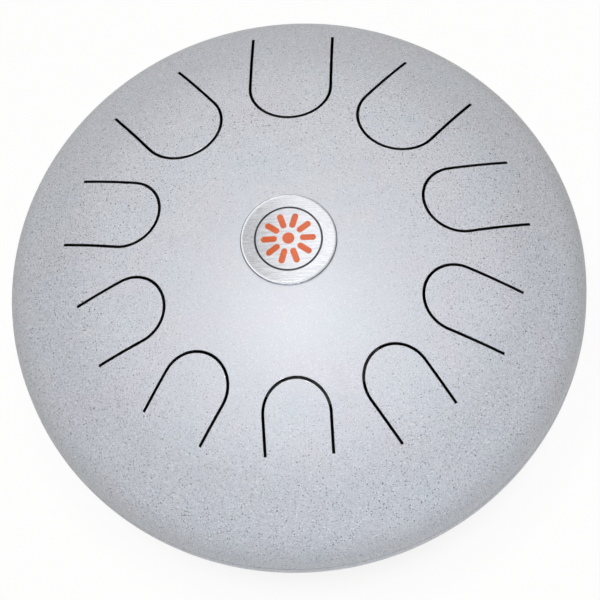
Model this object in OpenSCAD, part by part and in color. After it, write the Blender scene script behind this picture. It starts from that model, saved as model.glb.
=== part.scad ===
// Steel tongue drum: two pressed dishes joined at a lapped and welded seam.
// Ten U-shaped slots in the top dish leave ten tongues that flex at their outer ends.
// Millimetres, +Z up. The origin is on the drum's axis, in the plane that the feet rest on.
// The shortest tongue faces the front, along -Y.

/* [Dishes] */
// Outside diameter of the drum
drum_d = 305; // [290:1:330]
// Height of a dish from the top of its straight skirt to its crown
crown_h = 72; // [66:1:80]
// Outside radius of the rounded shoulder of a dish
shoulder_r = 30; // [26:1:34]
// Thickness of the pressed steel
wall = 2; // [1.5:0.1:3]
// Diameter of the sound port in the bottom dish
port_d = 80; // [60:1:100]

/* [Seam] */
// Straight skirt of the top dish, which covers the lip of the bottom dish
top_skirt = 5; // [4:0.5:10]
// Radial clearance between the skirt and the lip
lap_fit = 0.15; // [0.1:0.05:0.3]
// Room left between the end of the lip and the start of the shoulder
lip_room = 0.5; // [0.3:0.1:2]
// Straight run of the bottom dish between its joggle and its shoulder
lower_run = 0.6; // [0.4:0.1:4]
// Hairline left in every glued or welded joint
bond = 0.02; // [0.01:0.01:0.05]

/* [Tongues] */
// Width of the slot cut round each tongue
slot_w = 1.5; // [1:0.1:2.5]
// Width of the three wide tongues
wide_w = 41; // [38:0.5:43]
// Width of the two middle tongues
middle_w = 35.5; // [33:0.5:38]
// Width of the five narrow tongues
narrow_w = 33.5; // [30:0.5:35]
// Distance from the drum's edge to the circle near which the tongue tips lie
tip_inset = 79.5; // [76:0.5:84]
// Step by which a single tip is set in or out from that circle
tip_step_len = 0.5; // [0:0.1:1]
// Length of the longest tongue, from its tip to its root
longest = 59.5; // [54:0.5:61]
// Hairline across the root, which leaves the tongue free to flex there
root_gap = 0.12; // [0.1:0.01:0.2]

/* [Badge] */
// Diameter of the badge plate
badge_d = 50; // [44:0.5:56]
// Thickness of the badge plate
plate_t = 0.5; // [0.3:0.1:1]
// Thickness of the adhesive tape under the plate
tape_t = 0.4; // [0.2:0.1:1]
// Distance of the tape's edge from the plate's edge
tape_inset = 0.8; // [0.4:0.1:2]
// Thickness of the clear dome at its middle
lens_t = 1.7; // [1.4:0.1:2.5]
// Radius of the rounded edge of the clear dome
lens_edge_r = 1.3; // [0.9:0.1:1.5]
// Distance of the clear dome's edge from the plate's edge
lens_inset = 0.25; // [0.1:0.05:1]

/* [Feet] */
// Diameter of a rubber foot where it meets the dish
foot_d = 24; // [18:0.5:28]
// Distance between the port's edge and a foot
foot_gap = 16; // [10:1:22]
// Slope of a foot's side from the vertical, in degrees
foot_draft = 6; // [2:1:12]
// Radius of the rounded lower edge of a foot
foot_edge_r = 1.6; // [0.8:0.1:2.5]
// Thickness of the adhesive pad on top of a foot
pad_t = 0.8; // [0.4:0.1:1.5]
// Distance of the pad's edge from the foot's edge
pad_inset = 1; // [0.5:0.1:2]
// Height of the port's rim above the surface that the feet stand on
port_lift = 4; // [3:0.5:10]

/* [Hidden] */
$fn = 144;
// Finer facets for the long, flat arcs of the crowns
arc_fn = 720;

// Bearing from the front, width, tip steps outwards and length as a share of the longest.
// A tongue's pitch follows its length, so the shares keep the drum in tune.
TONGUES = [
    [0, narrow_w, -2, 0.6],
    [35.7, narrow_w, 0, 0.7],
    [70.5, narrow_w, 1, 0.777],
    [105.7, middle_w, 2, 0.838],
    [141.5, wide_w, 2, 0.926],
    [178.4, wide_w, 3, 1],
    [215.9, wide_w, 1, 0.916],
    [252.6, middle_w, -2, 0.806],
    [288.2, narrow_w, -4, 0.71],
    [323.9, narrow_w, -3, 0.658],
];
TONGUE_NAMES = [for (i = [1 : len(TONGUES)]) str("tongue_", i < 10 ? "0" : "", i)];

FOOT_BEARINGS = [45, 135, 225, 315];
FOOT_NAMES = [for (i = [1 : len(FOOT_BEARINGS)]) str("foot_", i)];
PAD_NAMES = [for (i = [1 : len(FOOT_BEARINGS)]) str("foot_pad_", i)];

drum_r = drum_d / 2;
front = -90;

// Crown radius of a dish of outside radius r, shoulder radius k and height h
function dish_crown_r(r, k, h) = ((r - k) * (r - k) + h * h - k * k) / (2 * (h - k));
// Height of a crown of radius s above its own centre, at distance x from the axis
function cap(s, x) = sqrt(s * s - x * x);

crown_r = dish_crown_r(drum_r, shoulder_r, crown_h);

// The joggle sets the bottom dish's lip in by one wall and the clearance, at 45 degrees
joggle = wall + lap_fit;
joggle_turn = wall * tan(45 / 2);
lower_skirt = joggle + joggle_turn + lower_run;
lip_h = top_skirt - lip_room;

// Heights of the planes where the shoulders start, of the seam, and of the crown centres
lower_z = port_lift + crown_h - crown_r + cap(crown_r, port_d / 2);
seam_z = lower_z + lower_skirt;
upper_z = seam_z + top_skirt;
top_centre_z = upper_z + crown_h - crown_r;
bottom_centre_z = lower_z - crown_h + crown_r;

// Tongue by tongue: tip and root radius
function tongue_w(i) = TONGUES[i][1];
function tongue_tip(i) = drum_r - tip_inset + TONGUES[i][2] * tip_step_len;
function tongue_root(i) = tongue_tip(i) + TONGUES[i][3] * longest;

// The badge's layers, as radii from the centre of the top crown
badge_r = badge_d / 2;
tape_from = crown_r + bond;
plate_from = tape_from + tape_t + bond;
lens_from = plate_from + plate_t + bond;
// The clear dome stands on the plate near its rim and rises to its own thickness at the middle
lens_r = badge_r - lens_inset;
lens_base = cap(lens_from, badge_r);
lens_h = lens_from + lens_t - lens_base;

// The foot's seat, as a radius from the centre of the bottom crown
pad_from = crown_r + bond;
foot_seat = pad_from + pad_t + bond;
foot_r = foot_d / 2;
foot_circle_r = port_d / 2 + foot_gap + foot_r;
foot_top = bottom_centre_z - cap(foot_seat, foot_circle_r + foot_r);

paint = [0.83, 0.84, 0.88];
rubber = [0.08, 0.08, 0.09];

// Half section of a solid dish: a crown arc and a shoulder arc that meet without a kink.
// The crown's circle bounds both the part inside the line through the two arcs' centres
// and the shoulder's half disc, which touches that circle from inside.
module dish_section(r, k, h) {
    s = dish_crown_r(r, k, h);
    lean = atan((r - k) / (s - h));
    reach = 2 * (k + h);
    intersection() {
        translate([0, h - s]) circle(s, $fn = arc_fn);
        union() {
            polygon([
                [0, 0],
                [0, reach],
                [r - k + reach * tan(lean), reach],
                [r - k, 0],
            ]);
            intersection() {
                translate([r - k, 0]) circle(k);
                translate([r - 2 * k, 0]) square([2 * k, k]);
            }
        }
    }
}

// Half section of the pressed sheet of one dish
module sheet_section() {
    difference() {
        dish_section(drum_r, shoulder_r, crown_h);
        dish_section(drum_r - wall, shoulder_r - wall, crown_h - wall);
    }
}

// The top dish before its slots are cut
module top_pressing() {
    translate([0, 0, upper_z]) rotate_extrude() {
        sheet_section();
        translate([drum_r - wall, -top_skirt]) square([wall, top_skirt]);
    }
}

// A round layer of the badge, which follows the crown from radius a to radius b
module badge_layer(a, b, r) {
    translate([0, 0, top_centre_z]) rotate_extrude() intersection() {
        difference() {
            circle(b, $fn = arc_fn);
            circle(a, $fn = arc_fn);
        }
        square([r, b]);
    }
}

// A tongue's outline seen from above, grown by the slot's width where it is the window's
module tongue_outline(i, grow, root) {
    half = tongue_w(i) / 2;
    centre = tongue_tip(i) + half;
    intersection() {
        union() {
            translate([centre, 0]) circle(half + grow);
            translate([centre, -half - grow]) square([root - centre, 2 * (half + grow)]);
        }
        translate([0, -half - grow]) square([root, 2 * (half + grow)]);
    }
}

// A tongue's outline carried straight up through the top dish
module tongue_prism(i, grow, root) {
    rotate(front + TONGUES[i][0])
        translate([0, 0, upper_z])
            linear_extrude(crown_h + wall)
                tongue_outline(i, grow, root);
}

module top_shell() {
    color(paint) difference() {
        top_pressing();
        for (i = [0 : len(TONGUES) - 1]) tongue_prism(i, slot_w, tongue_root(i));
    }
}

module tongue(i) {
    color(paint) intersection() {
        top_pressing();
        tongue_prism(i, 0, tongue_root(i) - root_gap);
    }
}

// Half section of the bottom dish's skirt, joggle and lip, measured up from its shoulder
module joggle_section() {
    lip_r = drum_r - joggle;
    lip_top = lower_skirt + lip_h;
    polygon([
        [drum_r, 0],
        [drum_r, lower_skirt - joggle],
        [lip_r, lower_skirt],
        [lip_r, lip_top],
        [lip_r - wall, lip_top],
        [lip_r - wall, lower_skirt - joggle_turn],
        [drum_r - wall, lower_run],
        [drum_r - wall, 0],
    ]);
}

module bottom_shell() {
    color(paint) difference() {
        translate([0, 0, lower_z]) rotate_extrude() {
            mirror([0, 1]) sheet_section();
            joggle_section();
        }
        // The port is cut from one wall below the crown up to the shoulder
        translate([0, 0, lower_z - crown_h - wall]) cylinder(h = crown_h + wall, d = port_d);
    }
}

// The bead fills the groove between the joggle and the top dish's edge, flush with the outside
module seam_weld() {
    slant = bond * sqrt(2);
    color(paint) translate([0, 0, seam_z]) rotate_extrude() polygon([
        [drum_r, slant - joggle],
        [drum_r, -bond],
        [drum_r - joggle + bond + slant, -bond],
    ]);
}

module badge_tape() {
    color([0.12, 0.12, 0.13]) badge_layer(tape_from, tape_from + tape_t, badge_r - tape_inset);
}

module badge_plate() {
    color([0.78, 0.79, 0.8]) badge_layer(plate_from, plate_from + plate_t, badge_r);
}

module badge_dome() {
    color([0.9, 0.93, 0.95, 0.5])
        translate([0, 0, top_centre_z])
            rotate_extrude() difference() {
                translate([0, lens_base]) dish_section(lens_r, lens_edge_r, lens_h);
                circle(lens_from, $fn = arc_fn);
            }
}

// Half section of a foot: straight drafted side and a rounded lower edge. It stands a
// little above the dish, which cuts it to its seat.
module foot_section() {
    sole = foot_r - foot_top * tan(foot_draft);
    stub = foot_top + pad_t;
    hip = foot_edge_r * (1 - sin(foot_draft));
    flat = sole - foot_edge_r / tan(45 + foot_draft / 2);
    translate([flat, foot_edge_r]) circle(foot_edge_r);
    polygon([
        [0, 0],
        [flat, 0],
        [flat + foot_edge_r * cos(foot_draft), hip],
        [sole + stub * tan(foot_draft), stub],
        [0, stub],
    ]);
}

module foot(i) {
    color(rubber) difference() {
        rotate(front + FOOT_BEARINGS[i])
            translate([foot_circle_r, 0, 0])
                rotate_extrude() foot_section();
        // Turned on its side, so that the ball's poles lie far from the cut
        translate([0, 0, bottom_centre_z]) rotate([90, 0, 0]) sphere(foot_seat);
    }
}

module foot_pad(i) {
    color([0.2, 0.2, 0.2]) intersection() {
        translate([0, 0, bottom_centre_z]) difference() {
            sphere(pad_from + pad_t);
            sphere(pad_from);
        }
        rotate(front + FOOT_BEARINGS[i])
            translate([foot_circle_r, 0, 0])
                cylinder(h = lower_z, r = foot_r - pad_inset);
    }
}

top_shell();
bottom_shell();
seam_weld();
badge_tape();
badge_plate();
badge_dome();
for (i = [0 : len(TONGUES) - 1])
    tongue(i);
for (i = [0 : len(FOOT_BEARINGS) - 1])
    foot(i);
for (i = [0 : len(FOOT_BEARINGS) - 1])
    foot_pad(i);
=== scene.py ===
# %% [markdown]
# Steel tongue drum, dressed for the camera.
#
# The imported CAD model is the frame: it says where every piece is and how it moves. This
# lesson loads it, sets up the camera and a small studio, mixes the finishes, and then
# draws nearly every piece again as a smooth surface worked out with numpy.

# %% Load the frame
from collections import namedtuple

import bpy
import numpy as np
from mathutils import Matrix, Vector


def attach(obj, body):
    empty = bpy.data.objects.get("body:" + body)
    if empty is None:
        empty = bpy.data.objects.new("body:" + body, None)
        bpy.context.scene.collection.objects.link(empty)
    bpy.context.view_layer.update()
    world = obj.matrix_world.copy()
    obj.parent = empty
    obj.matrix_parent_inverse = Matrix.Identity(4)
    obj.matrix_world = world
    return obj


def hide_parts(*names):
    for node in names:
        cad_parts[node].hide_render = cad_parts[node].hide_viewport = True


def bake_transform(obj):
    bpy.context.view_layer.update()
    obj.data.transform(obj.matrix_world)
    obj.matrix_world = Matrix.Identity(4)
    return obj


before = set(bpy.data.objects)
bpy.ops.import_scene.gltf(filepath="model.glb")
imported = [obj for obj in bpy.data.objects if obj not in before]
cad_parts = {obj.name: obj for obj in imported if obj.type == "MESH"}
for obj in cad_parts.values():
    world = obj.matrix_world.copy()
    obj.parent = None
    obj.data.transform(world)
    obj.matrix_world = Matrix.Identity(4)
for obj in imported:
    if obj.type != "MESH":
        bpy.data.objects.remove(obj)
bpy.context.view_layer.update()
scene = bpy.context.scene

# %% [markdown]
# The drum is two pressed dishes. Each dish is a crown, which is a piece of a large sphere,
# and a shoulder, which is a smaller arc that turns the crown down into a straight skirt.
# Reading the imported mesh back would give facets, so the sizes of the CAD source are
# repeated here in metres, and every surface below follows from them.

# %% Sizes of the dishes
MM = 0.001
DRUM_R = 152.5 * MM
CROWN_H = 72 * MM
SHOULDER_R = 30 * MM
WALL = 2 * MM
PORT_R = 40 * MM
PORT_LIFT = 4 * MM
TOP_SKIRT = 5 * MM
LAP_FIT = 0.15 * MM
LIP_ROOM = 0.5 * MM
LOWER_RUN = 0.6 * MM
JOGGLE_BEND = np.radians(45)
BOND = 0.02 * MM


def crown_radius(r, k, h):
    """Radius of the crown arc that runs smoothly into a shoulder of radius k.

    The dish has outside radius r and height h: the arcs' centres and the point where
    the arcs meet lie on one line, which gives ((r-k)^2 + h^2 - k^2) / (2 (h-k)).
    """
    return ((r - k) ** 2 + h * h - k * k) / (2 * (h - k))


def cap(s, x):
    """Height of a circle of radius s above its centre, at distance x from the axis."""
    return np.sqrt(s * s - x * x)


CROWN_R = crown_radius(DRUM_R, SHOULDER_R, CROWN_H)
LEAN = np.arctan2(DRUM_R - SHOULDER_R, CROWN_R - CROWN_H)
JOGGLE = WALL + LAP_FIT
JOGGLE_TURN = WALL * np.tan(JOGGLE_BEND / 2)
LOWER_Z = PORT_LIFT + CROWN_H - CROWN_R + cap(CROWN_R, PORT_R)
SEAM_Z = LOWER_Z + JOGGLE + JOGGLE_TURN + LOWER_RUN
UPPER_Z = SEAM_Z + TOP_SKIRT
TOP_CENTRE_Z = UPPER_Z + CROWN_H - CROWN_R
BOTTOM_CENTRE_Z = LOWER_Z - CROWN_H + CROWN_R
print("crown radius", round(CROWN_R / MM, 2), "mm, seam at", round(SEAM_Z / MM, 2), "mm")

# %% [markdown]
# A tongue is the metal left inside a U-shaped slot. Each one has a bearing from the front,
# a width, a tip that lies near a common circle, and a length that sets its note. The
# names are those of the parts in the frame, so that the right CAD part can be hidden.

# %% The ten tongues
SLOT_W = 1.5 * MM
WIDE, MIDDLE, NARROW = 41 * MM, 35.5 * MM, 33.5 * MM
TIP_R, TIP_STEP, LONGEST = 73 * MM, 0.5 * MM, 59.5 * MM
FRONT = -90.0

Tongue = namedtuple("Tongue", "name angle half tip root centre")
tongues = []
for bearing, width, steps, share in (
    (0, NARROW, -2, 0.6),
    (35.7, NARROW, 0, 0.7),
    (70.5, NARROW, 1, 0.777),
    (105.7, MIDDLE, 2, 0.838),
    (141.5, WIDE, 2, 0.926),
    (178.4, WIDE, 3, 1),
    (215.9, WIDE, 1, 0.916),
    (252.6, MIDDLE, -2, 0.806),
    (288.2, NARROW, -4, 0.71),
    (323.9, NARROW, -3, 0.658),
):
    name = f"tongue_{len(tongues) + 1:02d}"
    angle, half = np.radians(FRONT + bearing), width / 2
    tip = TIP_R + steps * TIP_STEP
    tongues.append(Tongue(name, angle, half, tip, tip + share * LONGEST, tip + half))
print("tongues:", ", ".join(f"{(t.root - t.tip) / MM:.1f}" for t in tongues), "mm long")

# %% [markdown]
# The photograph is taken from steeply above, a little to one side and with the camera
# slightly rolled. Its place was fitted to the drum's outline, the badge and the slot ends:
# a distance and an elevation from the middle of the seam, an azimuth, a roll, and a small
# shift of the point that it looks at. Rolling the camera's own axes keeps the lens shift at 0.

# %% Camera
CAMERA_DISTANCE = 13.2 * DRUM_R
CAMERA_ELEVATION = np.radians(68.483)
CAMERA_AZIMUTH = np.radians(7.95)
CAMERA_ROLL = np.radians(-10.671)
AIM_SHIFT = -0.0256 * DRUM_R
FOCAL_PIXELS, FRAME_PIXELS = 3787.74, 600

aside = Vector((np.sin(CAMERA_AZIMUTH), -np.cos(CAMERA_AZIMUTH), 0))
middle = Vector((0, 0, SEAM_Z))
eye = middle + CAMERA_DISTANCE * (
    aside * np.cos(CAMERA_ELEVATION) + Vector((0, 0, np.sin(CAMERA_ELEVATION)))
)
look = (middle - AIM_SHIFT * aside - eye).normalized()
level = look.cross(Vector((0, 0, 1))).normalized()
upright = level.cross(look)
right = np.cos(CAMERA_ROLL) * level + np.sin(CAMERA_ROLL) * upright
up = np.cos(CAMERA_ROLL) * upright - np.sin(CAMERA_ROLL) * level

lens = bpy.data.cameras.new("camera")
lens.sensor_fit = "HORIZONTAL"
lens.sensor_width = 36
lens.lens = FOCAL_PIXELS / FRAME_PIXELS * lens.sensor_width
lens.clip_start = 0.01
lens.clip_end = 50
camera = bpy.data.objects.new("camera", lens)
scene.collection.objects.link(camera)
turned = Matrix((right, up, -look)).transposed().to_4x4()
camera.matrix_world = Matrix.Translation(eye) @ turned
scene.camera = camera
print("camera at", [round(v, 3) for v in eye], "lens", round(lens.lens, 2), "mm")

# %% [markdown]
# Shader nodes are easier to read when one line makes a node, fills its inputs and wires it.
# The first two helpers do that, and the others build on them: an input given as a socket is
# linked, anything else is a value that is set on the node's own socket.


# %% Node helpers
def fill(tree, node, values):
    """Fills a node's inputs, which go by name or by number."""
    for key, value in values.items():
        if isinstance(value, bpy.types.NodeSocket):
            tree.links.new(value, node.inputs[key])
        else:
            node.inputs[key].default_value = value


def put(tree, kind, values=None, **settings):
    """Adds a node, sets its properties, and fills its inputs."""
    node = tree.nodes.new("ShaderNode" + kind)
    for key, value in settings.items():
        setattr(node, key, value)
    fill(tree, node, values or {})
    return node


def math(tree, operation, a, b=0.0):
    """One step of arithmetic; returns the socket that holds the result."""
    return put(tree, "Math", {0: a, 1: b}, operation=operation).outputs[0]


def ramp(tree, value, low, high, to_low=0.0, to_high=1.0, smooth=False):
    """Carries a value from the span low..high to the span to_low..to_high, clamped."""
    kind = "SMOOTHSTEP" if smooth else "LINEAR"
    inputs = {0: value, 1: low, 2: high, 3: to_low, 4: to_high}
    return put(tree, "MapRange", inputs, interpolation_type=kind).outputs[0]


def mix(tree, share, first, second):
    """Mixes two colours by a share from 0 to 1."""
    inputs = {0: share, 6: first, 7: second}
    return put(tree, "Mix", inputs, data_type="RGBA", clamp_factor=True).outputs[2]


def colour(red, green, blue):
    """A screen colour from 0 to 255 as the linear values that the shaders work in."""
    screen = np.array((red, green, blue)) / 255
    linear = np.where(screen > 0.04045, ((screen + 0.055) / 1.055) ** 2.4, screen / 12.92)
    return (*linear.tolist(), 1.0)


def new_material(name):
    """A material with nothing but a Principled shader, and that shader's node."""
    material = bpy.data.materials.new(name)
    material.use_nodes = True
    return material, material.node_tree, material.node_tree.nodes["Principled BSDF"]


def new_group(name, inputs, outputs):
    """A node group with named sockets, and its input and output nodes."""
    tree = bpy.data.node_groups.new(name, "ShaderNodeTree")
    for title, kind, value in inputs:
        socket = tree.interface.new_socket(title, in_out="INPUT", socket_type="NodeSocket" + kind)
        socket.default_value = value
    for title, kind in outputs:
        tree.interface.new_socket(title, in_out="OUTPUT", socket_type="NodeSocket" + kind)
    return tree, tree.nodes.new("NodeGroupInput"), tree.nodes.new("NodeGroupOutput")


def millimetres(tree):
    """The place on the piece in millimetres, in the frame that all pieces share."""
    place = put(tree, "TexCoord").outputs["Object"]
    return put(tree, "VectorMath", {0: place, "Scale": 1000}, operation="SCALE").outputs[0]


def away(tree, a, b):
    """Length of the hypotenuse over two sides."""
    squares = math(tree, "ADD", math(tree, "MULTIPLY", a, a), math(tree, "MULTIPLY", b, b))
    return math(tree, "SQRT", squares)


def from_axis(tree):
    """Distance from the drum's upright axis in millimetres."""
    place = put(tree, "SeparateXYZ", {0: millimetres(tree)})
    return away(tree, place.outputs[0], place.outputs[1])


def bumped(tree, height, strength, depth):
    """The surface's direction, tilted as if the height were a relief of the given depth."""
    inputs = {"Height": height, "Strength": strength, "Distance": depth}
    return put(tree, "Bump", inputs).outputs[0]


def seen_rays(tree):
    """Two masks: rays from the camera, and those with the mirrored and transmitted rays."""
    path = put(tree, "LightPath").outputs
    mirrored = math(tree, "MAXIMUM", path["Is Glossy Ray"], path["Is Transmission Ray"])
    from_camera = path["Is Camera Ray"]
    return from_camera, math(tree, "MAXIMUM", from_camera, mirrored)


print("node helpers ready")

# %% [markdown]
# Three round lamps light the drum. One hangs almost straight above it, so that the dome's
# top is bright and its sides fall off. A low, cool one fills from the front, and a weak one
# from behind keeps the far half from going dull. What lies under the badge's resin doesn't
# see the lamps: there only the white room is mirrored, and the lamps show as a glint on the
# resin's own skin. Each row below gives a lamp's name, its place and width in metres, its
# power in watts and its tint.

# %% Lamps
for name, place, wide, power, tint in (
    ("soft lamp", (-0.05, -0.06, 1.5), 0.28, 14.7, (1, 1, 1)),
    ("back light", (0.1, 1.1, 0.95), 0.8, 1.1, (1, 1, 1)),
    ("fill", (0.48, -1.21, 0.12), 0.8, 2.9, (0.88, 0.95, 1.06)),
):
    light = bpy.data.lights.new(name, "AREA")
    light.shape = "DISK"
    light.size = wide
    light.energy = power
    light.color = tint
    lamp = bpy.data.objects.new(name, light)
    facing = (middle - Vector(place)).to_track_quat("-Z", "Y")
    lamp.matrix_world = Matrix.Translation(place) @ facing.to_matrix().to_4x4()
    lamp.visible_transmission = False
    scene.collection.objects.link(lamp)
    print(name, power, "W")

# %% [markdown]
# To the camera the room is plain white. To rays that metal and resin send out it is white
# too, but for a dimmer ceiling on the left, which shows as a grey third in the badge's metal.
# To all other rays it is a weak, warm light, with a bright, cool band low in front, like a
# window, that lights the drum's rim. So the white background costs no light on the drum.

# %% Room
ROOM_LIGHT, BAND_LIGHT, DIM_CEILING = 0.13, 2.5, 0.42
WARM, COOL, WHITE = colour(255, 246, 234), colour(222, 236, 255), colour(250, 251, 255)

world = bpy.data.worlds.new("room")
world.use_nodes = True
room = world.node_tree
from_camera, seen = seen_rays(room)
heading = put(room, "SeparateXYZ", {0: put(room, "TexCoord").outputs["Generated"]})
sideways, backwards, upwards = heading.outputs
left = ramp(room, sideways, -0.05, -0.17, smooth=True)
overhead_left = math(room, "MULTIPLY", left, ramp(room, upwards, 0.5, 0.75))
white_room = ramp(room, overhead_left, 0, 1, 1.0, DIM_CEILING)
bright = math(room, "MAXIMUM", from_camera, white_room)
low = ramp(room, upwards, 0.3, 0.0, smooth=True)
band = math(room, "MULTIPLY", low, ramp(room, backwards, 0.2, -0.5))
unseen = ramp(room, band, 0, 1, ROOM_LIGHT, BAND_LIGHT)
tint = mix(room, seen, mix(room, band, WARM, COOL), WHITE)
strength = ramp(room, seen, 0, 1, unseen, bright)
fill(room, room.nodes["Background"], {"Color": tint, "Strength": strength})
scene.world = world
scene.view_settings.view_transform = "Standard"
print("room light", ROOM_LIGHT, "with a band of", BAND_LIGHT)

# %% [markdown]
# The drum stands on a pale, dull table that takes its shadow. For the rays that see a white
# room, most of the table is a plain white glow. Under the drum there is no glow, because
# there the slots and the sound port must look into the dark.

# %% Table
FLOOR_SIZE, FLOOR_GLOW = 8.0, 0.96
DARK_UNDER, GLOW_FROM = 60, 150

floor_finish, tree, shader = new_material("white table")
grain = put(tree, "TexNoise", {"Vector": millimetres(tree), "Scale": 0.05, "Detail": 3})
tone = mix(tree, grain.outputs[0], colour(227, 224, 211), colour(235, 232, 219))
fill(tree, shader, {"Base Color": tone, "Roughness": 0.9, "Specular IOR Level": 0.1})
seen = seen_rays(tree)[1]
open_floor = ramp(tree, from_axis(tree), DARK_UNDER, GLOW_FROM, 0, FLOOR_GLOW, smooth=True)
glow = put(tree, "Emission", {"Color": (1, 1, 1, 1), "Strength": 1.0})
share = math(tree, "MULTIPLY", seen, open_floor)
both = put(tree, "MixShader", {0: share, 1: shader.outputs[0], 2: glow.outputs[0]})
fill(tree, tree.nodes["Material Output"], {"Surface": both.outputs[0]})

half = FLOOR_SIZE / 2
floor_mesh = bpy.data.meshes.new("table_top")
corners = [(-half, -half, 0), (half, -half, 0), (half, half, 0), (-half, half, 0)]
floor_mesh.from_pydata(corners, [], [(0, 1, 2, 3)])
floor_mesh.materials.append(floor_finish)
floor = bpy.data.objects.new("table_top", floor_mesh)
scene.collection.objects.link(floor)
print("table", FLOOR_SIZE, "m wide")

# %% [markdown]
# Grain is an effect that several finishes share: sand in the powder coat, the bloom of
# rubber, the scale on bare steel. One group makes it. It takes the size of a grain and gives
# a value from 0 to 1, and a slower value for clouds of tone that are twelve grains across.

# %% Grain group
CLOUD_GRAINS = 12.0
grain_group, given, made = new_group(
    "fine grain",
    [("Grain Size", "Float", 0.5)],
    [("Grain", "Float"), ("Cloud", "Float")],
)
tree = grain_group
place = millimetres(tree)
pitch = math(tree, "DIVIDE", 1.0, given.outputs["Grain Size"])
fine = put(tree, "TexNoise", {"Vector": place, "Scale": pitch, "Detail": 2})
wide = math(tree, "DIVIDE", pitch, CLOUD_GRAINS)
slow = put(tree, "TexNoise", {"Vector": place, "Scale": wide, "Detail": 3})
grain = ramp(tree, fine.outputs[0], 0.25, 0.75)
cloud = ramp(tree, slow.outputs[0], 0.3, 0.7)
fill(tree, made, {"Grain": grain, "Cloud": cloud})


def grains(tree, size):
    """The grain group's outputs, set to one grain size."""
    return put(tree, "Group", {"Grain Size": size}, node_tree=grain_group).outputs


print("group:", grain_group.name)

# %% [markdown]
# Specks are the flakes in the coat. A Voronoi texture scatters one point in each cell and
# gives every cell a random colour, so its three channels can decide whether the cell has a
# flake, how large it is and how strong. The group is used three times: for pale flakes, and
# for large and small dark ones.

# %% Speck group
speck_group, given, made = new_group(
    "specks",
    [("Spacing", "Float", 1.5), ("Share", "Float", 0.5), ("Size", "Float", 0.3)],
    [("Speck", "Float")],
)
tree = speck_group
place = millimetres(tree)
pitch = math(tree, "DIVIDE", 1.0, given.outputs["Spacing"])
cells = put(tree, "TexVoronoi", {"Vector": place, "Scale": pitch})
chance = put(tree, "SeparateColor", {0: cells.outputs["Color"]})
here = math(tree, "LESS_THAN", chance.outputs[0], given.outputs["Share"])
spread = ramp(tree, chance.outputs[1], 0, 1, 0.45, 1.0)
edge = math(tree, "MULTIPLY", given.outputs["Size"], spread)
core = math(tree, "MULTIPLY", edge, 0.55)
flake = ramp(tree, cells.outputs["Distance"], edge, core, smooth=True)
depth = ramp(tree, chance.outputs[2], 0, 1, 0.35, 1.0)
speck = math(tree, "MULTIPLY", math(tree, "MULTIPLY", flake, here), depth)
fill(tree, made, {"Speck": speck})


def specks(tree, spacing, share, size):
    """The speck group, set to a spacing, a share of cells with a flake and a flake size."""
    inputs = {"Spacing": spacing, "Share": share, "Size": size}
    return put(tree, "Group", inputs, node_tree=speck_group).outputs["Speck"]


print("group:", speck_group.name)

# %% [markdown]
# The powder coat is a pale, cool grey with a sandy skin. It is sprayed on and baked, so it
# is rough enough to blur the lamp into one broad sheen, in which single grains sparkle.
# The sand goes into a bump as well as into the tone. A painted shade greys the shoulder.
# The flakes are spattered on from the front and sides: they are dense out to the rim, fewer
# at the back, and thin out towards a bare place a little in front of the dome's middle.
# Two finishes need the coat, a whole one and a worn one, so it is a group as well.

# %% Powder coat
COAT_SHINE = 0.68
SHOULDER_SHADE_FROM, SHOULDER_SHADE_TO, SHOULDER_SHADE = 95, 130, 0.3
BARE_PLACE, BARE_R, PALE_R, DARK_R = 28, 15, 125, 130
BACK_FROM, BACK_TO, BACK_SHARE = 45, 135, 0.62
# one grey serves both for the sand's dust and for the painted shade on the shoulder
DUST_AND_SHADE, PALE, DARK = colour(168, 170, 178), colour(244, 246, 250), colour(64, 70, 80)

coat_group, _, made = new_group(
    "powder coat", [], [("Tone", "Color"), ("Gloss", "Float"), ("Normal", "Vector")]
)
tree = coat_group
sand = grains(tree, 0.55)
clouds = grains(tree, 1.6)
hues = grains(tree, 2.4)
tone = mix(tree, hues["Cloud"], colour(209, 208, 217), colour(204, 211, 219))
pale = math(tree, "MULTIPLY", clouds["Cloud"], 0.5)
tone = mix(tree, pale, tone, colour(213, 216, 222))
dusty = math(tree, "MULTIPLY", sand["Grain"], 0.12)
tone = mix(tree, dusty, tone, DUST_AND_SHADE)
# painted shade: towards the shoulder the coat is greyed, where the dome turns away from the lamp
shoulder_shade = ramp(tree, from_axis(tree), SHOULDER_SHADE_FROM, SHOULDER_SHADE_TO, 0, SHOULDER_SHADE, smooth=True)
tone = mix(tree, shoulder_shade, tone, DUST_AND_SHADE)
place = put(tree, "SeparateXYZ", {0: millimetres(tree)})
spray = away(tree, place.outputs[0], math(tree, "ADD", place.outputs[1], BARE_PLACE))
light = ramp(tree, spray, BARE_R, PALE_R, 0.42, 0.74, smooth=True)
light = math(tree, "MULTIPLY", specks(tree, 1.0, 0.75, 0.5), light)
tone = mix(tree, light, tone, PALE)
small = math(tree, "MULTIPLY", specks(tree, 0.8, 1.0, 0.50), 0.7)
large = specks(tree, 1.5, 0.55, 0.36)
spatter = ramp(tree, spray, BARE_R, DARK_R, 0.1, 1.2, smooth=True)
back = ramp(tree, place.outputs[1], BACK_FROM, BACK_TO, 1.0, BACK_SHARE)
spatter = math(tree, "MULTIPLY", spatter, back)
flakes = math(tree, "MULTIPLY", math(tree, "MAXIMUM", small, large), spatter)
tone = mix(tree, flakes, tone, DARK)
gloss = ramp(tree, sand["Grain"], 0, 1, 0.41, 0.57)
relief = bumped(tree, sand["Grain"], 0.45, 0.12 * MM)
fill(tree, made, {"Tone": tone, "Gloss": gloss, "Normal": relief})

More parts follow.
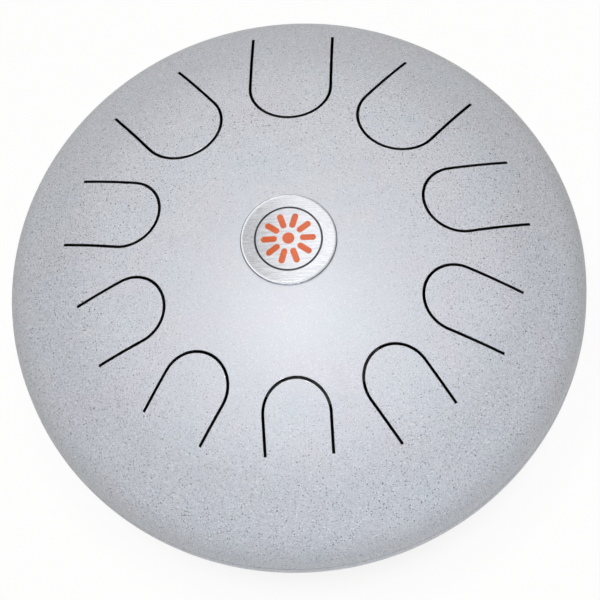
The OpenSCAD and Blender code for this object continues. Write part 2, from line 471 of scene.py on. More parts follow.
coat, tree, shader = new_material("speckled powder coat")
skin = put(tree, "Group", node_tree=coat_group).outputs
fill(tree, shader, {"Base Color": skin["Tone"], "Roughness": skin["Gloss"]})
fill(tree, shader, {"Normal": skin["Normal"], "Specular IOR Level": COAT_SHINE})
print("finish:", coat.name)

# %% [markdown]
# On the rounded edges of the slots the coat is thin, and here and there it is rubbed down to
# the steel, which glints beside the dark slot. A slow noise picks those places.

# %% Worn edges
worn, tree, shader = new_material("worn slot edge")
skin = put(tree, "Group", node_tree=coat_group).outputs
rubbing = put(tree, "TexNoise", {"Vector": millimetres(tree), "Scale": 0.12, "Detail": 4})
rubbed = ramp(tree, rubbing.outputs[0], 0.57, 0.63)
tone = mix(tree, rubbed, skin["Tone"], colour(236, 238, 242))
gloss = ramp(tree, rubbed, 0, 1, skin["Gloss"], 0.28)
fill(tree, shader, {"Base Color": tone, "Roughness": gloss, "Metallic": rubbed})
fill(tree, shader, {"Normal": skin["Normal"], "Specular IOR Level": COAT_SHINE})
print("finish:", worn.name)

# %% [markdown]
# Inside the slots the sheet's cut edge shows: steel with fine upright lines from the cutting
# beam, mostly dark, but bright where it faces the lamp. The inside of the drum is bare
# rolled steel, dull and blotchy. Both are metals, so their colour is their reflection.

# %% Bare steel
cut_steel, tree, shader = new_material("cut steel edge")
flatten = put(tree, "VectorMath", {0: millimetres(tree), 1: (5, 5, 0.4)}, operation="MULTIPLY")
lines = put(tree, "TexNoise", {"Vector": flatten.outputs[0], "Scale": 1.0, "Detail": 2})
marks = ramp(tree, lines.outputs[0], 0.3, 0.7)
tone = mix(tree, marks, colour(60, 60, 64), colour(118, 117, 118))
gloss = ramp(tree, marks, 0, 1, 0.32, 0.5)
relief = bumped(tree, marks, 0.3, 0.05 * MM)
fill(tree, shader, {"Base Color": tone, "Roughness": gloss, "Normal": relief, "Metallic": 0.9})

inner_steel, tree, shader = new_material("bare steel inside")
scale = grains(tree, 2.5)
tone = mix(tree, scale["Cloud"], colour(72, 70, 69), colour(104, 100, 96))
rusty = math(tree, "MULTIPLY", scale["Grain"], 0.3)
tone = mix(tree, rusty, tone, colour(84, 66, 54))
gloss = ramp(tree, scale["Grain"], 0, 1, 0.42, 0.6)
fill(tree, shader, {"Base Color": tone, "Roughness": gloss, "Metallic": 0.85})
print("finishes:", cut_steel.name, "and", inner_steel.name)

# %% [markdown]
# Every new piece is a set of patches. A patch is a grid of points with the true direction
# of the surface at each point, so the shading stays smooth however coarse the grid is. The
# patches of a piece are welded where their edges meet, which closes the mesh.

# %% From patches to a mesh
Patch = namedtuple("Patch", "points normals finish wrap")
WELD = 1e-7


def patch_faces(patch, start):
    """Four corner numbers for every cell of a patch, turned so that it faces outwards.

    The cell's own direction is the cross product of its diagonals; where that points
    against the surface's true direction, the corners are taken the other way round.
    """
    rows, columns = patch.points.shape[:2]
    number = np.arange(rows * columns).reshape(rows, columns)
    if patch.wrap:
        number = np.hstack((number, number[:, :1]))
    quads = np.stack(
        (number[:-1, :-1], number[:-1, 1:], number[1:, 1:], number[1:, :-1]), axis=-1
    ).reshape(-1, 4)
    corner = patch.points.reshape(-1, 3)[quads]
    facing = np.cross(corner[:, 2] - corner[:, 0], corner[:, 3] - corner[:, 1])
    outward = patch.normals.reshape(-1, 3)[quads].sum(axis=1)
    against = (facing * outward).sum(axis=1) < 0
    quads[against] = quads[against, ::-1]
    return quads + start


def make_piece(name, patches, finishes):
    """Welds patches into one mesh object with smooth shading and exact normals.

    Points closer than the weld distance become one. A cell with two equal corners is
    a triangle, and a cell with fewer than three different corners is dropped.
    """
    points = np.concatenate([p.points.reshape(-1, 3) for p in patches])
    normals = np.concatenate([p.normals.reshape(-1, 3) for p in patches])
    starts = np.cumsum([0] + [p.points.shape[0] * p.points.shape[1] for p in patches])
    quads = [patch_faces(p, s) for p, s in zip(patches, starts)]
    skins = np.concatenate([np.full(len(q), p.finish) for q, p in zip(quads, patches)])
    quads = np.concatenate(quads)
    key = np.round(points / WELD).astype(np.int64)
    kept, welded = np.unique(key, axis=0, return_inverse=True)
    corner = welded.reshape(-1)[quads]
    same = corner == np.roll(corner, -1, axis=1)
    whole = same.sum(axis=1) == 0
    faces, shading, slots = [corner[whole]], [normals[quads[whole]]], [skins[whole]]
    for side in range(4):
        pinched = same[:, side] & (same.sum(axis=1) == 1)
        rest = [c for c in range(4) if c != side]
        faces.append(corner[pinched][:, rest])
        shading.append(normals[quads[pinched][:, rest]])
        slots.append(skins[pinched])
    mesh = bpy.data.meshes.new(name)
    mesh.from_pydata((kept * WELD).tolist(), [], [f for group in faces for f in group.tolist()])
    mesh.polygons.foreach_set("material_index", np.concatenate(slots).astype(np.int32))
    mesh.polygons.foreach_set("use_smooth", np.ones(len(mesh.polygons), dtype=bool))
    for finish in finishes:
        mesh.materials.append(finish)
    turned = np.concatenate([s.reshape(-1, 3) for s in shading])
    turned /= np.linalg.norm(turned, axis=1, keepdims=True)
    mesh.normals_split_custom_set(turned.tolist())
    piece = bpy.data.objects.new(name, mesh)
    scene.collection.objects.link(piece)
    print(name, len(mesh.vertices), "points", len(mesh.polygons), "faces")
    return piece


# %% [markdown]
# Round pieces are turned, as on a lathe: a profile of radius and height is carried round
# the axis. The profile is a chain of arcs and straight runs, each with its own direction,
# so a crease between two runs stays crisp while the runs themselves stay smooth.


# %% Lathe
def pairs(first, second):
    """Two numbers for each point; a single number serves for all points."""
    return np.stack(np.broadcast_arrays(first, second), axis=-1)


def spot(radius, angle):
    """Points at a radius and an angle, as (outwards, sideways) pairs."""
    return pairs(radius * np.cos(angle), radius * np.sin(angle))


def arc(centre, radius, start, end, count, inside=False):
    """Points of an arc and their directions, with angles from upright, in degrees.

    A point is the centre plus the radius times (sine, cosine) of its angle. On the
    inside of a bend the surface faces the centre, so its direction is turned round.
    """
    angle = np.radians(np.linspace(start, end, count))
    out = pairs(np.sin(angle), np.cos(angle))
    return np.asarray(centre) + radius * out, -out if inside else out


def run(first, last, count=2):
    """Points of a straight run; it faces to the left of the way that it is drawn."""
    first, last = np.asarray(first, float), np.asarray(last, float)
    along = last - first
    facing = np.array((-along[1], along[0])) / np.hypot(*along)
    points = first + np.linspace(0, 1, count)[:, None] * along
    return points, np.broadcast_to(facing, points.shape)


def turned_patch(profile, angles, finish=0):
    """A profile carried round the axis: radius times (cosine, sine) of each angle."""
    round_axis = spot(1.0, angles)
    made = []
    for rows in profile:
        flat = rows[:, None, :1] * round_axis
        lift = np.broadcast_to(rows[:, None, 1:], (*flat.shape[:2], 1))
        made.append(np.concatenate((flat, lift), axis=-1))
    return Patch(*made, finish, True)


AROUND = np.linspace(0, 2 * np.pi, 288, endpoint=False)
print("columns round the axis:", len(AROUND))

# %% [markdown]
# The top dish is the hard one: a dome with ten windows in it. Each window gets a sector of
# the dome, and the grid of that sector runs from the sector's border to the window's edge,
# over the rounded edge, down the cut, and back along the inside. Because every point's
# height is worked out from its place on the sphere, the sectors join without a mark.
# The root of a tongue is solid metal, so the grid simply stops there and the tongue's own
# surface carries on.

# %% Windows and sectors
EDGE_R = 0.3 * MM
INNER_R, OUTER_R = 58 * MM, 139 * MM
ARC, SIDE, END, ROOT = 56, 24, 4, 24
ACROSS = 2 * END + ROOT
LAND_ROWS, EDGE_ROWS = 12, 5
TIP_ARC = np.radians(np.linspace(-90, -270, ARC + 1))

PAINTED, WORN, CUT, INSIDE = 0, 1, 2, 3
edge_finishes = (PAINTED, WORN, CUT, INSIDE)
shell_finishes = (coat, worn, cut_steel, inner_steel)


def line(first, last, count):
    """Evenly spaced points from the first to the last, without the last."""
    return np.linspace(first, last, count, endpoint=False)


def window_loop(tongue, grow):
    """The window's edge, moved outwards by grow, as one closed loop of points.

    It runs round the tip, out along the left side, across the root and back along the
    right side. Across the root only the two slot ends move; between them lies the
    tongue, whose surface starts at the rounded edge's own distance from the root.
    """
    reach = tongue.half + SLOT_W + grow
    round_tip = spot(reach, TIP_ARC[:-1]) + (tongue.centre, 0)
    root, corner = tongue.root + grow, tongue.half - grow
    left = pairs(line(tongue.centre, root, SIDE), reach)
    end = pairs(root, line(reach, corner, END))
    blade = np.linspace(tongue.half - EDGE_R, EDGE_R - tongue.half, ROOT + 1)
    across = pairs(tongue.root + EDGE_R, blade)
    across[[0, -1]] = (root, corner), (root, -corner)
    other_end = pairs(root, np.linspace(-corner, -reach, END + 1)[1:-1])
    back = pairs(line(root, tongue.centre, SIDE), -reach)
    return np.concatenate((round_tip, left, end, across, other_end, back))


def sector_loop(before, after):
    """The sector's border in the window's order; before and after are angles from the tongue."""
    inner = spot(INNER_R, line(before, after, ARC))
    left = spot(line(INNER_R, OUTER_R, SIDE), after)
    outer = spot(OUTER_R, line(after, before, ACROSS))
    back = spot(line(OUTER_R, INNER_R, SIDE), before)
    return np.concatenate((inner, left, outer, back))


print("columns round a window:", len(window_loop(tongues[0], 0)))

# %% [markdown]
# Flat grids are put on the dome by working out each point's height. At a cut the edge is
# rounded: the surface's direction swings from that of the skin to that of the cut's wall.


# %% Rounded edges on the dome
def on_dome(flat, radius, sink=0.0):
    """Points on a sphere about the crown's centre, sunk straight down, and their directions."""
    rise = np.sqrt(radius**2 - (flat**2).sum(axis=-1))[..., None]
    points = np.concatenate((flat, TOP_CENTRE_Z + rise - sink), axis=-1)
    return points, np.concatenate((flat, rise), axis=-1) / radius


def turn_to(tongue, local):
    """Turns (outwards, sideways) pairs from the tongue's own direction into the frame."""
    c, s = np.cos(tongue.angle), np.sin(tongue.angle)
    return local @ np.array(((c, s), (-s, c)))


def lean_over(skin, wall, angle):
    """Directions on a rounded edge: cosine of the angle of the skin, sine of the wall."""
    share = angle[:, None, None]
    return np.cos(share) * skin + np.sin(share) * wall


def edge_patches(skin_flat, edge_flat, wall):
    """Outer skin, rounded edge, cut wall, and inner skin with its own rounded edge.

    skin_flat holds rows that end at the rounded edge, edge_flat one row for each step of
    the rounding, and wall the direction of the cut. A step at angle a is sunk by the edge
    radius times (1 - cos a).
    """
    angle = np.linspace(0, np.pi / 2, EDGE_ROWS)
    sink = (EDGE_R * (1 - np.cos(angle)))[:, None, None]
    upright = np.append(wall, np.zeros((len(wall), 1)), axis=1)[None]
    outer, outer_n = on_dome(skin_flat, CROWN_R)
    bend, bend_n = on_dome(edge_flat, CROWN_R, sink)
    under, under_n = on_dome(edge_flat, CROWN_R - WALL, -sink)
    inner, inner_n = on_dome(skin_flat, CROWN_R - WALL)
    bend_n = lean_over(bend_n, upright, angle)
    cut = np.stack((bend[-1], under[-1]))
    cut_n = np.broadcast_to(upright, cut.shape)
    bare = np.concatenate((inner, under[1:]))
    bare_n = np.concatenate((-inner_n, lean_over(-under_n, upright, angle)[1:]))
    return (outer, outer_n), (bend, bend_n), (cut, cut_n), (bare, bare_n)


steps = np.linspace(0, np.pi / 2, EDGE_ROWS)
insets = EDGE_R * (1 - np.sin(steps))
print("insets over a rounded edge:", (insets / MM).round(3), "mm")

# %% [markdown]
# Now the patches of the ten sectors. A sector ends halfway to the next tongue on either side,
# and its land is the straight blend from the sector's border to the window's edge.

# %% Sectors of the top dish
bearings = np.array([t.angle for t in tongues])
after = (np.roll(bearings, -1) - bearings) % (2 * np.pi) / 2
before = -np.roll(after, 1)

patches = []
for tongue, low, high in zip(tongues, before, after):
    window = window_loop(tongue, EDGE_R)
    share = np.linspace(1, 0, LAND_ROWS)[:, None, None]
    land = share * sector_loop(low, high) + (1 - share) * window
    rounding = np.stack([window_loop(tongue, inset) for inset in insets])
    cutting = np.concatenate(
        (
            -spot(1.0, TIP_ARC[:-1]),
            np.tile((0.0, -1.0), (SIDE, 1)),
            np.tile((-1.0, 0.0), (ACROSS, 1)),
            np.tile((0.0, 1.0), (SIDE, 1)),
        )
    )
    made = edge_patches(
        turn_to(tongue, land), turn_to(tongue, rounding), turn_to(tongue, cutting)
    )
    patches += [Patch(*m, finish, True) for m, finish in zip(made, edge_finishes)]
print("patches in the sectors:", len(patches))

# %% [markdown]
# A disc closes the middle under the badge, and a turned ring carries the crown over the
# shoulder into the skirt. Their columns use the sectors' own angles, so that the edges weld.

# %% Top dish
RIM_R = 0.25 * MM
sides = list(zip(bearings, before, after))
ring_angles = np.concatenate([a + line(high, low, ACROSS) for a, low, high in sides[::-1]])
disc_angles = np.concatenate([a + line(low, high, ARC) for a, low, high in sides])
crown, shoulder = (0, TOP_CENTRE_Z), (DRUM_R - SHOULDER_R, UPPER_Z)
inner_crown_r, inner_shoulder_r = CROWN_R - WALL, SHOULDER_R - WALL
lean = np.degrees(LEAN)


def tilt(radius, crown_r):
    """Angle from upright at which a crown reaches a radius, in degrees."""
    return np.degrees(np.arcsin(radius / crown_r))


outside = (
    arc(crown, CROWN_R, tilt(OUTER_R, CROWN_R), lean, 8),
    arc(shoulder, SHOULDER_R, lean, 90, 30),
    run((DRUM_R, UPPER_Z), (DRUM_R, SEAM_Z + RIM_R), 4),
    arc((DRUM_R - RIM_R, SEAM_Z + RIM_R), RIM_R, 90, 180, 6),
)
within = (
    run((DRUM_R - RIM_R, SEAM_Z), (DRUM_R - WALL + RIM_R, SEAM_Z)),
    arc((DRUM_R - WALL + RIM_R, SEAM_Z + RIM_R), RIM_R, 180, 270, 4),
    run((DRUM_R - WALL, SEAM_Z + RIM_R), (DRUM_R - WALL, UPPER_Z), 3),
    arc(shoulder, inner_shoulder_r, 90, lean, 20, inside=True),
    arc(crown, inner_crown_r, lean, tilt(OUTER_R, inner_crown_r), 6, inside=True),
)
patches += [turned_patch(part, ring_angles, PAINTED) for part in outside]
patches += [turned_patch(part, ring_angles, INSIDE) for part in within]
middle_disc = arc(crown, CROWN_R, 0, tilt(INNER_R, CROWN_R), 12)
patches.append(turned_patch(middle_disc, disc_angles, PAINTED))
under_disc = arc(crown, inner_crown_r, 0, tilt(INNER_R, inner_crown_r), 12, inside=True)
patches.append(turned_patch(under_disc, disc_angles, INSIDE))
top_dish = make_piece("top_dish", patches, shell_finishes)
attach(top_dish, "drum")
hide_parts("top_shell")

# %% [markdown]
# A tongue is one blade: its grid runs from a spine along its middle out to its edge, over
# the rounded edge and back underneath. At its root the points are those of the top dish.
# The real root bends like a spring; here each blade's place is simply baked into its mesh,
# and the blade is tied to no body.


def blade_outline(tongue, inset):
    """The tongue's edge, moved inwards: right side, round the tip, left side."""
    reach = tongue.half - inset
    side = np.linspace(tongue.root + EDGE_R, tongue.centre, SIDE + 1)[:-1]
    right = pairs(side, -reach)
    tip = spot(reach, TIP_ARC) + (tongue.centre, 0)
    return np.concatenate((right, tip, right[::-1] * (1, -1)))


def root_cap(tongue, flat_row, insets, steps):
    """The hidden end face of a blade: pairs of points above and below, across the root."""
    right = pairs(flat_row[0, 0], insets - tongue.half)
    across = np.concatenate((right[::-1], flat_row[1:-1], right * (1, -1)))
    depth = EDGE_R * (1 - np.cos(steps))
    sink = np.concatenate((depth[::-1], np.zeros(len(flat_row) - 2), depth))[:, None]
    flat = turn_to(tongue, across)
    above, below = on_dome(flat, CROWN_R, sink)[0], on_dome(flat, CROWN_R - WALL, -sink)[0]
    outwards = np.append(turn_to(tongue, np.array((1.0, 0.0))), 0.0)
    points = np.stack((above, below))
    return Patch(points, np.broadcast_to(outwards, points.shape), INSIDE, False)


for tongue in tongues:
    outline = blade_outline(tongue, EDGE_R)
    spine = pairs(np.maximum(outline[:, 0], tongue.centre), 0.0)
    share = np.linspace(1, 0, ROOT // 2 + 1)[:, None, None]
    skin = share * spine + (1 - share) * outline
    rounding = np.stack([blade_outline(tongue, inset) for inset in insets])
    side = np.tile((0.0, -1.0), (SIDE, 1))
    cutting = np.concatenate((side, spot(1.0, TIP_ARC), -side))
    made = edge_patches(
        turn_to(tongue, skin), turn_to(tongue, rounding), turn_to(tongue, cutting)
    )
    patches = [Patch(*m, finish, False) for m, finish in zip(made, edge_finishes)]
    flat_row = np.concatenate((skin[::-1, 0], skin[1:, -1]))
    patches.append(root_cap(tongue, flat_row, insets, steps))
    blade = make_piece(tongue.name.replace("tongue", "blade"), patches, shell_finishes)
    heading = Vector((np.cos(tongue.angle), np.sin(tongue.angle), 0))
    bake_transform(blade)
    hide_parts(tongue.name)

# %% [markdown]
# The bottom dish is the same pressing turned over, with a round sound port in its middle.
# Its rim is stepped in, so that the top dish's skirt slips over it.

# %% Bottom dish
PORT_EDGE_R = 0.5 * MM
LIP_R = DRUM_R - JOGGLE
LIP_TOP = UPPER_Z - LIP_ROOM
SKIRT_TOP = SEAM_Z - JOGGLE

low_crown, low_shoulder = (0, BOTTOM_CENTRE_Z), (DRUM_R - SHOULDER_R, LOWER_Z)


def port_edge(crown_r, sign):
    """The rounded edge of the port, as it leaves a crown and turns into the hole's wall."""
    angle = np.linspace(0, np.pi / 2, 7)
    radius = PORT_R + PORT_EDGE_R * (1 - np.sin(angle))
    rise = cap(crown_r, radius)
    height = BOTTOM_CENTRE_Z - rise + sign * PORT_EDGE_R * (1 - np.cos(angle))
    skin = sign * pairs(radius, -rise) / crown_r
    facing = np.cos(angle)[:, None] * skin + np.sin(angle)[:, None] * (-1.0, 0.0)
    return pairs(radius, height), facing


port_reach = PORT_R + PORT_EDGE_R
inner_port_tilt = 180 - tilt(port_reach, inner_crown_r)
outer_port, inner_port = port_edge(CROWN_R, 1), port_edge(inner_crown_r, -1)
painted = (
    outer_port,
    arc(low_crown, CROWN_R, 180 - tilt(port_reach, CROWN_R), 180 - lean, 24),
    arc(low_shoulder, SHOULDER_R, 180 - lean, 90, 30),
    run((DRUM_R, SKIRT_TOP), (DRUM_R, LOWER_Z)),
)
bare = (
    run((LIP_R, SEAM_Z), (DRUM_R, SKIRT_TOP)),
    run((LIP_R, LIP_TOP), (LIP_R, SEAM_Z)),
    run((LIP_R - WALL, LIP_TOP), (LIP_R, LIP_TOP)),
    run((LIP_R - WALL, SEAM_Z - JOGGLE_TURN), (LIP_R - WALL, LIP_TOP)),
    run((DRUM_R - WALL, LOWER_Z + LOWER_RUN), (LIP_R - WALL, SEAM_Z - JOGGLE_TURN)),
    run((DRUM_R - WALL, LOWER_Z), (DRUM_R - WALL, LOWER_Z + LOWER_RUN)),
    arc(low_shoulder, inner_shoulder_r, 90, 180 - lean, 20, inside=True),
    arc(low_crown, inner_crown_r, 180 - lean, inner_port_tilt, 20, inside=True),
    inner_port,
)
hole = run(inner_port[0][-1], outer_port[0][-1])
hole = (hole[0], np.broadcast_to((-1.0, 0.0), hole[0].shape))
patches = [turned_patch(part, AROUND, PAINTED) for part in painted]
patches += [turned_patch(part, AROUND, INSIDE) for part in bare]
patches.append(turned_patch(hole, AROUND, PAINTED))
bottom_dish = make_piece("bottom_dish", patches, shell_finishes)
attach(bottom_dish, "drum")
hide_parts("bottom_shell")

# %% [markdown]
# The groove between the two dishes is filled by a weld that is ground flush and painted. Its
# section is a triangle whose two outer corners are rounded, so only a faint line remains.

# %% Weld
BEAD_R = 0.12 * MM
slant = BOND * np.sqrt(2)
bead_low, bead_top = SEAM_Z + slant - JOGGLE, SEAM_Z - BOND
toe = (DRUM_R - BEAD_R, bead_low + BEAD_R / np.tan(JOGGLE_BEND / 2))
toe_arc = arc(toe, BEAD_R, 90, 225, 7)
bead_root = (DRUM_R - JOGGLE + BOND + slant, bead_top)
bead = (
    toe_arc,
    run(toe_arc[0][-1], bead_root),
    run(bead_root, (DRUM_R - BEAD_R, bead_top)),
    arc((DRUM_R - BEAD_R, bead_top - BEAD_R), BEAD_R, 0, 90, 5),
    run((DRUM_R, bead_top - BEAD_R), (DRUM_R, toe[1])),
)
weld = make_piece("weld_bead", [turned_patch(part, AROUND) for part in bead], (coat,))
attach(weld, "drum")
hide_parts("seam_weld")

# %% [markdown]
# The badge is a disc of brushed metal on foam tape, under a drop of clear resin. Its print
# is a plain emblem of the drum itself: ten tongue marks in a ring, with a thin circle round
# them. A mark is a short bar with round ends, so a point's distance from the bar's middle
# line decides whether it is inked. Folding the angle ten times draws one mark ten times.

# %% Badge print
SECTOR = 2 * np.pi / len(tongues)
FOLD_START = 20.5
INK_BLUR = 0.06
MARK_MIDDLE, MARK_HALF, MARK_R = 10.0, 2.5, 1.6
HUB_R, RING_R, RING_HALF = 3.1, 17.2, 0.5

print_group, _, made = new_group(
    "badge print", [], [("Orange Ink", "Float"), ("Black Ink", "Float")]
)
tree = print_group


def inked(tree, distance):
    """1 where a distance from a shape's edge is negative, with a soft step at the edge."""
    return ramp(tree, distance, INK_BLUR, -INK_BLUR)


place = put(tree, "SeparateXYZ", {0: millimetres(tree)})
x, y = place.outputs[0], place.outputs[1]
radius = away(tree, x, y)
angle = math(tree, "ARCTAN2", y, x)
turns = math(tree, "ADD", math(tree, "DIVIDE", angle, SECTOR), FOLD_START)
fold = math(tree, "SUBTRACT", math(tree, "FRACT", turns), 0.5)
local = math(tree, "MULTIPLY", fold, SECTOR)
outwards = math(tree, "MULTIPLY", radius, math(tree, "COSINE", local))
sideways = math(tree, "MULTIPLY", radius, math(tree, "SINE", local))
past = math(tree, "ABSOLUTE", math(tree, "SUBTRACT", outwards, MARK_MIDDLE))
past = math(tree, "MAXIMUM", math(tree, "SUBTRACT", past, MARK_HALF), 0.0)
bar = math(tree, "SUBTRACT", away(tree, past, sideways), MARK_R)
hub = math(tree, "SUBTRACT", radius, HUB_R)
orange = math(tree, "MAXIMUM", inked(tree, bar), inked(tree, hub))
circle = math(tree, "ABSOLUTE", math(tree, "SUBTRACT", radius, RING_R))
black = inked(tree, math(tree, "SUBTRACT", circle, RING_HALF))
fill(tree, made, {"Orange Ink": orange, "Black Ink": black})
print("group:", print_group.name)

# %% [markdown]
# Brushing leaves long scratches that all run one way, so the metal's tone and gloss change
# quickly across them and hardly along them. Stretching a noise along X does that. The plate's
# cut edge and a ring just inside it are darkened: a painted shade where the resin's rounded
# edge looks dark. Ink is not metal: where there is ink, the finish loses its metallic part
# and takes the ink's colour. Resin covers the ink, so the gloss that is seen is the resin's,
# and the ink has none of its own.

# %% Brushed plate and resin
RIM_SHADE_FROM, RIM_SHADE_TO = 24.3, 24.6
STRETCH = (0.05, 3.2, 3.2)
RESIN_IOR = 1.48

brushed, tree, shader = new_material("brushed badge plate")
stretch = put(tree, "VectorMath", {0: millimetres(tree), 1: STRETCH}, operation="MULTIPLY")
scratches = put(tree, "TexNoise", {"Vector": stretch.outputs[0], "Scale": 1.0, "Detail": 3})
lines = ramp(tree, scratches.outputs[0], 0.3, 0.7)
tone = mix(tree, lines, colour(230, 232, 235), colour(254, 254, 254))
# painted shade: a dark ring at the plate's rim, where the resin's rounded edge looks dark
edge = ramp(tree, from_axis(tree), RIM_SHADE_FROM, RIM_SHADE_TO)
tone = mix(tree, edge, tone, colour(92, 97, 104))
emblem = put(tree, "Group", node_tree=print_group).outputs
tone = mix(tree, emblem["Orange Ink"], tone, colour(222, 98, 36))
tone = mix(tree, emblem["Black Ink"], tone, colour(12, 12, 17))
ink = math(tree, "MAXIMUM", emblem["Orange Ink"], emblem["Black Ink"])
metal = ramp(tree, ink, 0, 1, 1.0, 0.0)
gloss = ramp(tree, lines, 0, 1, 0.17, 0.26)
relief = bumped(tree, lines, 0.7, 0.03 * MM)
fill(tree, shader, {"Base Color": tone, "Metallic": metal, "Roughness": gloss})
fill(tree, shader, {"Normal": relief, "Specular IOR Level": 0.0})

resin, tree, shader = new_material("clear resin")
ripple = grains(tree, 6.0)
gloss = ramp(tree, ripple["Grain"], 0, 1, 0.0, 0.03)
relief = bumped(tree, ripple["Cloud"], 0.1, 0.02 * MM)
fill(tree, shader, {"Base Color": (1, 1, 1, 1), "Roughness": gloss, "Normal": relief})
fill(tree, shader, {"Transmission Weight": 1.0, "IOR": RESIN_IOR})
print("finishes:", brushed.name, "and", resin.name)

# %% [markdown]
# The plate follows the dome's curve, and the resin stands on it: its edge is held up by
# surface tension, which rounds it like the shoulder of a dish, so the same two arcs serve.
# Both are turned pieces. The resin's underside lies a hairline above the plate.

# %% Badge
BADGE_R, PLATE_T, TAPE_T = 25 * MM, 0.5 * MM, 0.4 * MM
LENS_T, LENS_EDGE_R, LENS_INSET = 1.7 * MM, 1.3 * MM, 0.25 * MM
PLATE_EDGE_R = 0.12 * MM
TAPE_FROM = CROWN_R + BOND
PLATE_FROM = TAPE_FROM + TAPE_T + BOND
PLATE_TOP = PLATE_FROM + PLATE_T
LENS_FROM = PLATE_TOP + BOND
LENS_R = BADGE_R - LENS_INSET


def height_at(crown_r, radius):
    """Height of a sphere about the top crown's centre, at a distance from the axis."""
    return TOP_CENTRE_Z + cap(crown_r, radius)


inset = BADGE_R - PLATE_EDGE_R
top_edge = (inset, height_at(PLATE_TOP - PLATE_EDGE_R, inset))
low_edge = (inset, height_at(PLATE_FROM, inset) + PLATE_EDGE_R)
edge_tilt = tilt(inset, PLATE_TOP - PLATE_EDGE_R)
plate_profile = (
    arc(crown, PLATE_TOP, 0, edge_tilt, 24),
    arc(top_edge, PLATE_EDGE_R, edge_tilt, 90, 5),
    run((BADGE_R, top_edge[1]), (BADGE_R, low_edge[1])),
    arc(low_edge, PLATE_EDGE_R, 90, 180, 5),
    arc(crown, PLATE_FROM, tilt(inset, PLATE_FROM), 0, 12, inside=True),
)
plate = make_piece("badge_disc", [turned_patch(p, AROUND) for p in plate_profile], (brushed,))
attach(plate, "drum")
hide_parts("badge_plate")

lens_base = cap(LENS_FROM, BADGE_R)
lens_h = LENS_FROM + LENS_T - lens_base
lens_crown_r = crown_radius(LENS_R, LENS_EDGE_R, lens_h)
lens_crown = (0, TOP_CENTRE_Z + lens_base + lens_h - lens_crown_r)
lens_edge = (LENS_R - LENS_EDGE_R, TOP_CENTRE_Z + lens_base)
lens_lean = np.degrees(np.arctan2(LENS_R - LENS_EDGE_R, lens_crown_r - lens_h))
foot_rise = cap(LENS_FROM, LENS_R) - lens_base
lens_end = np.degrees(np.arccos(foot_rise / LENS_EDGE_R))
side_arc = arc(lens_edge, LENS_EDGE_R, lens_lean, lens_end, 16)
lens_foot = side_arc[0][-1, 0]
lens_profile = (
    arc(lens_crown, lens_crown_r, 0, lens_lean, 24),
    side_arc,
    arc(crown, LENS_FROM, tilt(lens_foot, LENS_FROM), 0, 24, inside=True),
)
drop = make_piece("badge_resin", [turned_patch(p, AROUND) for p in lens_profile], (resin,))
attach(drop, "drum")
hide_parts("badge_dome")

# %% [markdown]
# Rubber and foam are both nearly black and dull. What tells them apart is their relief:
# rubber has a fine bloom, and foam has open pores, which the cells of a Voronoi texture give.

# %% Rubber and foam
rubber, tree, shader = new_material("black rubber")
bloom = grains(tree, 0.6)
tone = mix(tree, bloom["Cloud"], colour(34, 34, 36), colour(48, 48, 50))
gloss = ramp(tree, bloom["Grain"], 0, 1, 0.55, 0.75)
relief = bumped(tree, bloom["Grain"], 0.25, 0.08 * MM)
fill(tree, shader, {"Base Color": tone, "Roughness": gloss, "Normal": relief})

foam, tree, shader = new_material("foam tape")
pores = put(tree, "TexVoronoi", {"Vector": millimetres(tree), "Scale": 3.5}).outputs["Distance"]
tone = mix(tree, ramp(tree, pores, 0, 0.6), colour(28, 28, 30), colour(66, 66, 68))
gloss = ramp(tree, pores, 0, 1, 0.8, 0.95)
relief = bumped(tree, pores, 0.4, 0.1 * MM)
fill(tree, shader, {"Base Color": tone, "Roughness": gloss, "Normal": relief})
print("finishes:", rubber.name, "and", foam.name)

# %% [markdown]
# The feet are moulded rubber with a slight draft and a rounded lower edge. Their tops follow
# the dish, so they aren't plain turned pieces: the side's height is found where its cone
# meets the sphere of the dish, for all angles at once, by a few rounds of substitution.

# %% Feet
FOOT_R, FOOT_GAP, FOOT_DRAFT, FOOT_EDGE_R = 12 * MM, 16 * MM, np.radians(6), 1.6 * MM
FOOT_BEARINGS = (45, 135, 225, 315)
ROUNDS = 20
PAD_T = 0.8 * MM
FOOT_SEAT = CROWN_R + BOND + PAD_T + BOND
FOOT_CIRCLE_R = PORT_R + FOOT_GAP + FOOT_R
foot_top = BOTTOM_CENTRE_Z - cap(FOOT_SEAT, FOOT_CIRCLE_R + FOOT_R)
sole = FOOT_R - foot_top * np.tan(FOOT_DRAFT)
flat_r = sole - FOOT_EDGE_R / np.tan(np.pi / 4 + FOOT_DRAFT / 2)
FOOT_AROUND = np.linspace(0, 2 * np.pi, 96, endpoint=False)


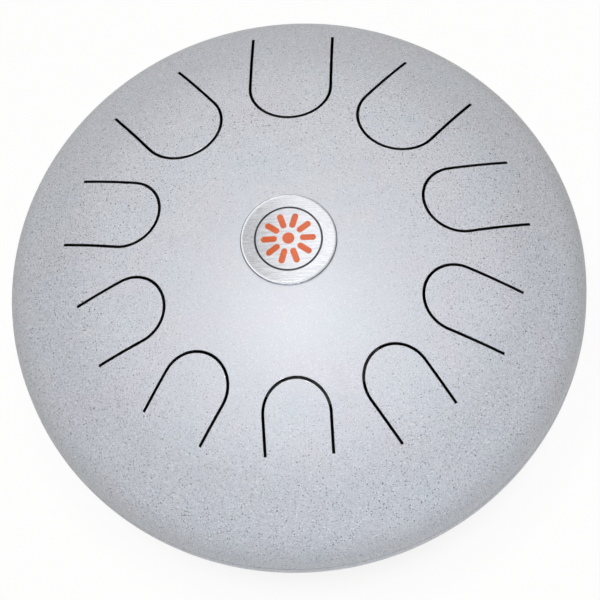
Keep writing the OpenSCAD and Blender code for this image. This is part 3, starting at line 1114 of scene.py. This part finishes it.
def seat_height(flat):
    """Height of the foot's seat, which is a sphere about the bottom crown's centre."""
    return BOTTOM_CENTRE_Z - np.sqrt(FOOT_SEAT**2 - (flat**2).sum(axis=-1))


def foot_patches(centre):
    """Sole, rounded edge, drafted side and seat of one foot that stands at a centre."""
    ring = spot(1.0, FOOT_AROUND)
    below = (
        run((flat_r, 0), (0, 0), 4),
        arc((flat_r, FOOT_EDGE_R), FOOT_EDGE_R, 180, 90 + np.degrees(FOOT_DRAFT), 8),
    )
    shift = np.append(centre, 0)
    turned = [turned_patch(part, FOOT_AROUND) for part in below]
    made = [Patch(p.points + shift, p.normals, 0, True) for p in turned]
    reach = np.full(len(ring), FOOT_R)
    for _ in range(ROUNDS):
        top = seat_height(centre + reach[:, None] * ring)
        reach = sole + top * np.tan(FOOT_DRAFT)
    hip = FOOT_EDGE_R * (1 - np.sin(FOOT_DRAFT))
    height = hip + np.linspace(0, 1, 8)[:, None] * (top - hip)
    flat = centre + (sole + height * np.tan(FOOT_DRAFT))[..., None] * ring
    side = np.concatenate((flat, height[..., None]), axis=-1)
    slope = np.full((len(ring), 1), -np.sin(FOOT_DRAFT))
    out = np.append(np.cos(FOOT_DRAFT) * ring, slope, axis=1)
    made.append(Patch(side, np.broadcast_to(out, side.shape), 0, True))
    flat = centre + np.linspace(1, 0, 8)[:, None, None] * reach[None, :, None] * ring
    seat = np.concatenate((flat, seat_height(flat)[..., None]), axis=-1)
    made.append(Patch(seat, (0, 0, BOTTOM_CENTRE_Z) - seat, 0, True))
    return made


for number, bearing in enumerate(FOOT_BEARINGS, start=1):
    centre = spot(FOOT_CIRCLE_R, np.radians(FRONT + bearing))
    foot = make_piece(f"rubber_foot_{number}", foot_patches(centre), (rubber,))
    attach(foot, "drum")
    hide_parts(f"foot_{number}")

# %% [markdown]
# The badge's tape and the pads on the feet are thin sheets of foam that are right as they
# come from the CAD model. They keep their meshes and only get the foam finish.

# %% Tape and pads
sheets = ["badge_tape"] + [f"foot_pad_{number}" for number in range(1, 5)]
for node in sheets:
    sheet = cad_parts[node].data
    sheet.materials.clear()
    sheet.materials.append(foam)
print("foam on", len(sheets), "sheets")
